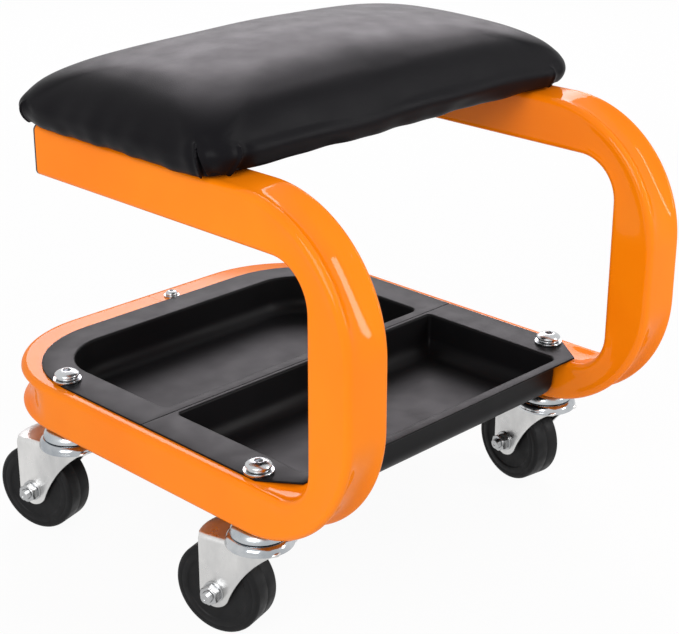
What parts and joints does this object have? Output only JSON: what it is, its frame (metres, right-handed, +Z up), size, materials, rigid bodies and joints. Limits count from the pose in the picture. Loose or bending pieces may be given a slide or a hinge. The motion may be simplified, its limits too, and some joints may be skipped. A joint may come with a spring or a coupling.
{
  "type": "creeper seat",
  "caption": "Rolling mechanic's creeper seat: orange square-tube frame that bends up at the front, black vinyl cushion, sunk black tool trays and swivel casters.",
  "frame": {"origin": "on the floor under the middle of the frame", "axes": "+Z up, +Y from the closed front bends to the back rail, +X to the right across the seat"},
  "size_m": [0.3888, 0.426, 0.3955],
  "materials": {
    "orange_paint": "gloss",
    "tray_paint": "satin",
    "vinyl": "satin",
    "board": "matte",
    "black_plastic": "satin",
    "wheel_plastic": "satin",
    "bright_zinc": "gloss",
    "zinc": "satin"
  },
  "bodies": {
    "frame": {"frame_left": "orange_paint", "frame_right": "orange_paint", "frame_sleeve": "zinc", "seam_screw": "zinc", "seam_washer": "zinc", "end_plug_left": "black_plastic", "end_plug_right": "black_plastic", "back_tray": "tray_paint", "front_tray": "tray_paint", "tray_screw_fl": "zinc", "tray_screw_fr": "zinc", "tray_screw_bl": "zinc", "tray_screw_br": "zinc", "tray_washer_fl": "zinc", "tray_washer_fr": "zinc", "tray_washer_bl": "zinc", "tray_washer_br": "zinc", "seat_cushion": "vinyl", "seat_board": "board", "seat_bolt_fl": "zinc", "seat_bolt_fr": "zinc", "seat_bolt_bl": "zinc", "seat_bolt_br": "zinc", "seat_insert_fl": "zinc", "seat_insert_fr": "zinc", "seat_insert_bl": "zinc", "seat_insert_br": "zinc", "caster_cup_fl": "bright_zinc", "caster_cup_fr": "bright_zinc", "caster_cup_bl": "bright_zinc", "caster_cup_br": "bright_zinc", "caster_balls_fl": "zinc", "caster_balls_fr": "zinc", "caster_balls_bl": "zinc", "caster_balls_br": "zinc", "caster_nut_fl": "zinc", "caster_nut_fr": "zinc", "caster_nut_bl": "zinc", "caster_nut_br": "zinc"},
    "swivel_fl": {"caster_fork_fl": "bright_zinc", "axle_bolt_fl": "zinc", "axle_nut_fl": "zinc", "axle_sleeve_fl": "zinc"},
    "roller_fl": {"wheel_fl": "wheel_plastic"},
    "swivel_fr": {"caster_fork_fr": "bright_zinc", "axle_bolt_fr": "zinc", "axle_nut_fr": "zinc", "axle_sleeve_fr": "zinc"},
    "roller_fr": {"wheel_fr": "wheel_plastic"},
    "swivel_bl": {"caster_fork_bl": "bright_zinc", "axle_bolt_bl": "zinc", "axle_nut_bl": "zinc", "axle_sleeve_bl": "zinc"},
    "roller_bl": {"wheel_bl": "wheel_plastic"},
    "swivel_br": {"caster_fork_br": "bright_zinc", "axle_bolt_br": "zinc", "axle_nut_br": "zinc", "axle_sleeve_br": "zinc"},
    "roller_br": {"wheel_br": "wheel_plastic"}
  },
  "joints": [
    {"name": "swivel_fl", "type": "hinge", "parent": "frame", "child": "swivel_fl", "pos_m": [-0.161, -0.109, 0.0827], "axis": [0, 0, 1], "continuous": true},
    {"name": "roll_fl", "type": "hinge", "parent": "swivel_fl", "child": "roller_fl", "pos_m": [-0.16851, -0.08099, 0.035], "axis": [-0.9659, -0.2588, 0], "continuous": true},
    {"name": "swivel_fr", "type": "hinge", "parent": "frame", "child": "swivel_fr", "pos_m": [0.161, -0.109, 0.0827], "axis": [0, 0, 1], "continuous": true},
    {"name": "roll_fr", "type": "hinge", "parent": "swivel_fr", "child": "roller_fr", "pos_m": [0.16504, -0.08028, 0.035], "axis": [-0.9903, 0.1392, 0], "continuous": true},
    {"name": "swivel_bl", "type": "hinge", "parent": "frame", "child": "swivel_bl", "pos_m": [-0.161, 0.109, 0.0827], "axis": [0, 0, 1], "continuous": true},
    {"name": "roll_bl", "type": "hinge", "parent": "swivel_bl", "child": "roller_bl", "pos_m": [-0.16899, 0.13688, 0.035], "axis": [-0.9613, -0.2756, 0], "continuous": true},
    {"name": "swivel_br", "type": "hinge", "parent": "frame", "child": "swivel_br", "pos_m": [0.161, 0.109, 0.0827], "axis": [0, 0, 1], "continuous": true},
    {"name": "roll_br", "type": "hinge", "parent": "swivel_br", "child": "roller_br", "pos_m": [0.16851, 0.13701, 0.035], "axis": [-0.9659, 0.2588, 0], "continuous": true}
  ]
}
